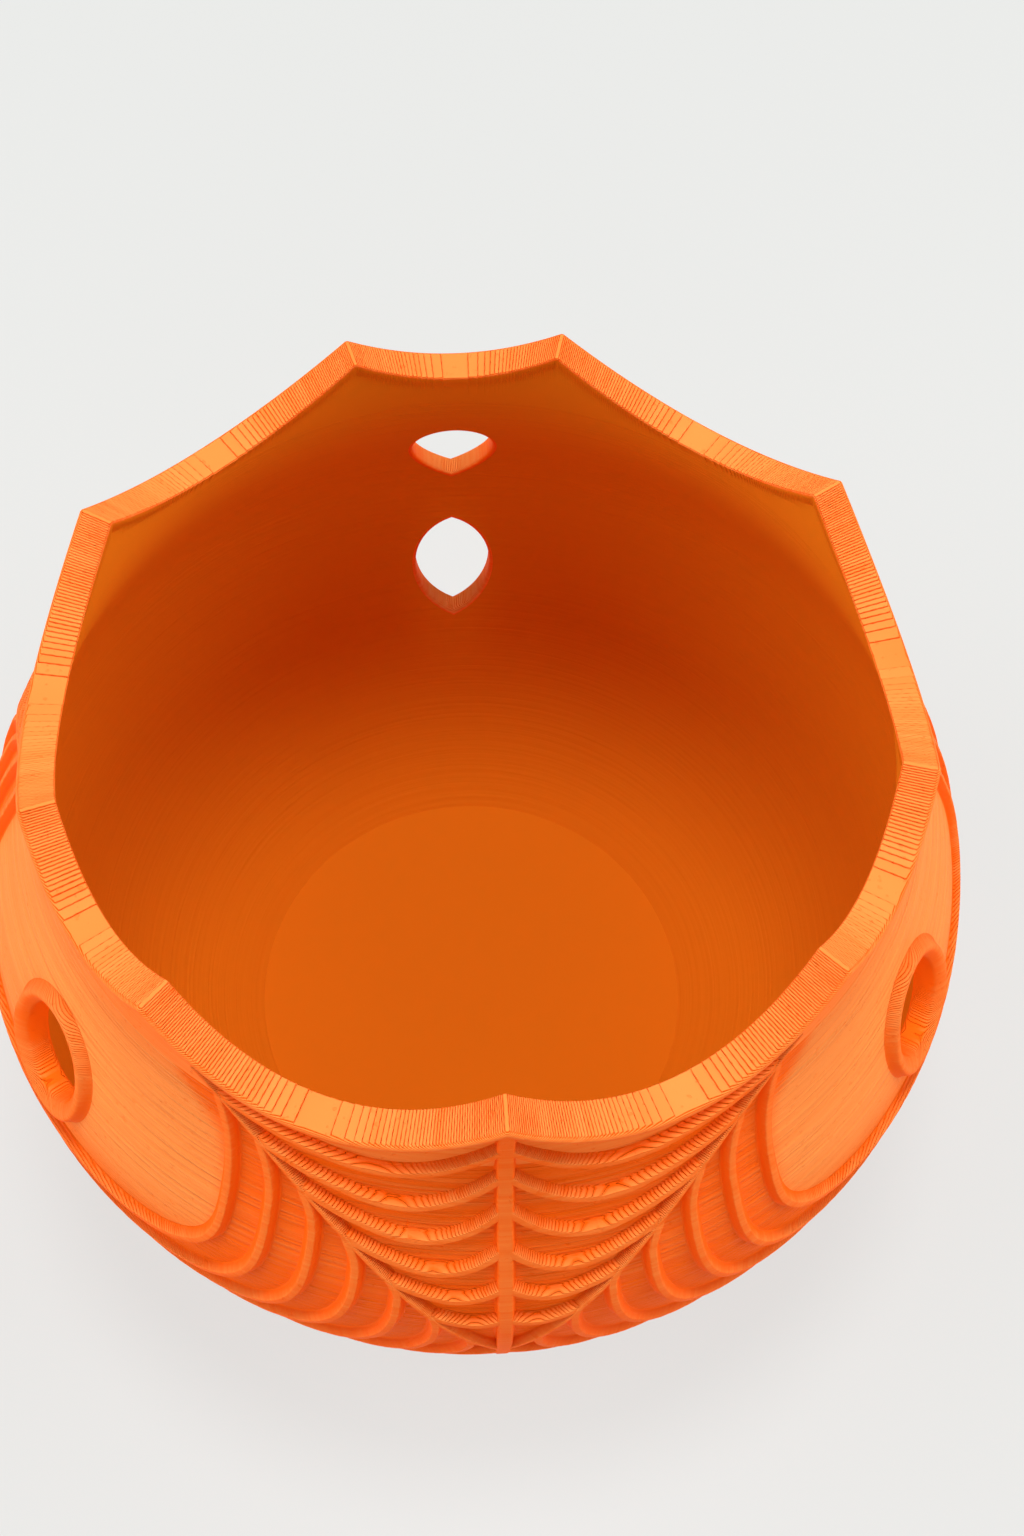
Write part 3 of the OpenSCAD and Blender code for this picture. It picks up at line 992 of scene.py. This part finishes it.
def print_material(name, terraces, lines, painted_shade_below, painted_light_above, groove_shade):
    """Satin orange plastic, laid in level layers.

    Terraces is the strength of the steps on sloping surfaces, and lines the depth of the
    uneven level lines that the layers leave on a wall. The colour gets painted shade (deep
    orange) where the surface's upward part is under painted_shade_below, and painted light
    (light orange) where it is over painted_light_above. Groove_shade is how much deeper the
    colour gets between two layers, a painted shade in the groove.
    """
    material = bpy.data.materials.new(name)
    make = NodeMaker(material)
    coordinates = make.node("TexCoord").outputs["Object"]
    upward = make.upward_part(make.node("NewGeometry").outputs["Normal"])
    inside = make.marked("inside")
    outside = make.minus(1.0, inside)

    squeezed = make.node("Mapping")
    make.put(coordinates, squeezed.inputs[0])
    make.put(band_squeeze, squeezed.inputs["Scale"])
    bands = make.clouds(*band_clouds, squeezed.outputs[0])
    tone = make.clouds(*tone_clouds, coordinates)
    grain = make.clouds(*grain_clouds, coordinates)
    pits = make.rising(make.clouds(*pit_clouds, coordinates), *pit_range)
    pit = make.times(pits, outside)
    waver_noise = make.minus(make.clouds(*waver_clouds, coordinates), 0.5)
    z = make.plus(make.upward_part(coordinates), make.times(waver_noise, layer_waver))
    layer_place = make.maths("FRACT", make.maths("DIVIDE", z, layer))

    # Height
    line_share = make.plus(make.times(outside, 1 - band_inside_share), band_inside_share)
    height = make.times(make.minus(bands, 0.5), make.times(line_share, lines))
    height = make.plus(height, make.times(grain, grain_depth))
    steps_up = make.times(layer_steps(make, layer_place, upward), terraces)
    height = make.plus(height, make.times(steps_up, outside))
    height = make.minus(height, make.times(pit, pit_depth))
    bump = make.node("Bump")
    make.put(1, bump.inputs["Strength"])
    make.put(1, bump.inputs["Distance"])
    make.put(height, bump.inputs["Height"])

    # Colour
    # Painted light: lighter where the face points upwards, deeper where it points sideways or down
    painted_top_light = make.rising(upward, painted_shade_below, painted_light_above, "SMOOTHSTEP")
    patches = make.plus(make.times(tone, tone_light), make.times(bands, band_light))
    share = make.plus(make.times(painted_top_light, top_light), make.minus(patches, patch_middle))
    # Painted shade in creases: down the strands' flanks and on the wall between strands
    share = make.minus(share, make.times(make.marked("crease_shade"), crease_shade_deep))
    # Painted shade in the pits
    share = make.minus(share, make.times(pit, pit_shade))
    # Painted shade in the grooves between layers on sloping faces
    share = make.minus(share, make.times(layer_groove_shade(make, layer_place, upward), groove_shade))
    plain = make.mixed(share, deep_orange, light_orange)
    # Painted shade: the inside of the vase takes the deeper copy of the orange
    colour = make.mixed(inside, plain, shaded_inside_orange)

    # Shader
    rough = make.plus(plain_rough, make.times(tone, tone_rough))
    rough = make.plus(rough, make.times(inside, inside_rough))
    shader = make.node("BsdfPrincipled")
    make.put(colour, shader.inputs["Base Color"])
    make.put(rough, shader.inputs["Roughness"])
    make.put(gloss, shader.inputs["Specular IOR Level"])
    make.put(bump.outputs[0], shader.inputs["Normal"])
    make.output("OutputMaterial", shader.outputs[0])
    return material


# Stage

# The floor's colour under the lamps, and the even one that the camera mostly sees
floor_shaded = (0.76, 0.76, 0.745, 1)
floor_even = (0.785, 0.795, 0.78, 1)
even_share = 0.8
floor_half = 3
floor_drop = 0.2 * MM

# The world's strength as light, and as the camera sees it
world_white = (1, 1, 0.99, 1)
world_fill = 0.28
world_shown = 0.8
light_target = Vector((0, 0, 0.08))


def seen_rays(make):
    """1 for the rays that show the background: the camera's, and those in gloss and glass."""
    path = make.node("LightPath").outputs
    seen = make.plus(path["Is Camera Ray"], path["Is Glossy Ray"])
    return make.maths("MINIMUM", make.plus(seen, path["Is Transmission Ray"]), 1.0)


def stage_material():
    """Pale grey floor. The camera sees most of it evenly bright, with part of the shadow."""
    material = bpy.data.materials.new("pale_floor")
    make = NodeMaker(material)
    shaded = make.node("BsdfDiffuse")
    make.put(floor_shaded, shaded.inputs["Color"])
    even = make.node("Emission")
    make.put(floor_even, even.inputs["Color"])
    mix = make.node("MixShader")
    make.put(make.times(seen_rays(make), even_share), mix.inputs[0])
    make.put(shaded.outputs[0], mix.inputs[1])
    make.put(even.outputs[0], mix.inputs[2])
    make.output("OutputMaterial", mix.outputs[0])
    return material


def make_stage():
    bm = bmesh.new()
    bmesh.ops.create_grid(bm, x_segments=1, y_segments=1, size=floor_half)
    floor = mesh_object("floor", bm)
    floor.location.z = -floor_drop
    floor.data.materials.append(stage_material())


def area_light(name, place, size, power):
    data = bpy.data.lights.new(name, "AREA")
    data.shape = "DISK"
    data.size = size
    data.energy = power
    lamp = bpy.data.objects.new(name, data)
    bpy.context.collection.objects.link(lamp)
    lamp.location = place
    lamp.rotation_euler = (light_target - Vector(place)).to_track_quat("-Z", "Y").to_euler()


def make_light():
    world = bpy.data.worlds.new("soft_room")
    bpy.context.scene.world = world
    make = NodeMaker(world)
    background = make.node("Background")
    make.put(world_white, background.inputs["Color"])
    seen = make.times(seen_rays(make), world_shown - world_fill)
    make.put(make.plus(seen, world_fill), background.inputs["Strength"])
    make.output("OutputWorld", background.outputs[0])
    area_light("left_light", (-0.95, 0.05, 0.6), size=1.0, power=8.6)
    area_light("right_light", (0.95, 0.05, 0.6), size=1.0, power=8.6)
    area_light("top_light", (0, 0.1, 1.15), size=0.3, power=6.2)
    area_light("front_light", (0, -0.9, 0.5), size=0.5, power=1.3)


def make_camera():
    """The photograph's view, found from the rim's tips and the holes."""
    data = bpy.data.cameras.new("camera")
    data.sensor_fit = "AUTO"
    data.sensor_width = 36
    data.lens = 44.96
    camera = bpy.data.objects.new("camera", data)
    bpy.context.collection.objects.link(camera)
    place = Vector((-9.47, -127.57, 323.87)) * MM
    right = Vector((0.99752, -0.06538, 0.02596))
    up = Vector((0.04524, 0.87891, 0.47483))
    back = right.cross(up)
    turn = Matrix((right, up, back)).transposed()
    camera.matrix_world = Matrix.Translation(place) @ turn.to_4x4()
    bpy.context.scene.camera = camera


make_camera()
make_light()
make_stage()

wall_plastic = print_material(
    "orange_print_wall", terraces=0.5, lines=0.8 * MM, painted_shade_below=-0.1, painted_light_above=0.4, groove_shade=0)
strand_plastic = print_material(
    "orange_print", terraces=1.8, lines=0.03 * MM, painted_shade_below=0.0, painted_light_above=0.75, groove_shade=0.45)
rim_plastic = print_material(
    "orange_print_rim", terraces=0.8, lines=0.015 * MM, painted_shade_below=-0.4, painted_light_above=0.7,
    groove_shade=0.85)

make_rim(rim_plastic)
for name, angle in (("collar_right", RIGHT_HOLE), ("collar_left", LEFT_HOLE)):
    collar = make_sleeve(name, angle, hole_depth, side_outline, COLLAR, strand_plastic)
    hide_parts(name)
    # Half as much painted crease shade on the collars
    mark(collar, "crease_shade", lambda p: depth_under_crest(p) / 2)
back_collar = make_sleeve(
    "collar_back", BACK_HOLE, back_hole_depth, pointed_outline, COLLAR, strand_plastic)
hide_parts("collar_back")
make_sleeve("low_hole_edge", BACK_HOLE, low_hole_depth, lens_outline, PLAIN_EDGE, strand_plastic)

for side_name, angle in (("front", FRONT), ("right", RIGHT), ("left", LEFT)):
    spine = [(spine_path(angle), ("open", "open"))]
    diagonals = [(diagonal_path(angle, side), ("open", "square")) for side in (-1, 1)]
    threads = [
        (thread_path(angle, side, k), ("square", "blunt"))
        for side in (-1, 1) for k in range(1, diagonal_threads)
    ]
    strands(f"spine_{side_name}", spine, SPINE, strand_plastic)
    strands(f"diagonals_{side_name}", diagonals, RIDGE, strand_plastic)
    strands(f"threads_{side_name}", threads, THREAD, strand_plastic)

upper_loops = range(1, diagonal_threads + 1)
lower_loops = range(diagonal_threads + 1, lowest_thread + 1)
for side_name, angle in (("right", RIGHT_HOLE), ("left", LEFT_HOLE), ("back", BACK_HOLE)):
    for kind, numbers in (("loops", upper_loops), ("lower_threads", lower_loops)):
        paths = [path for k in numbers for path in loop_paths(angle, k)]
        strands(f"{kind}_{side_name}", paths, THREAD, strand_plastic)

make_bowl(wall_plastic)

bpy.context.scene.view_settings.view_transform = "Standard"
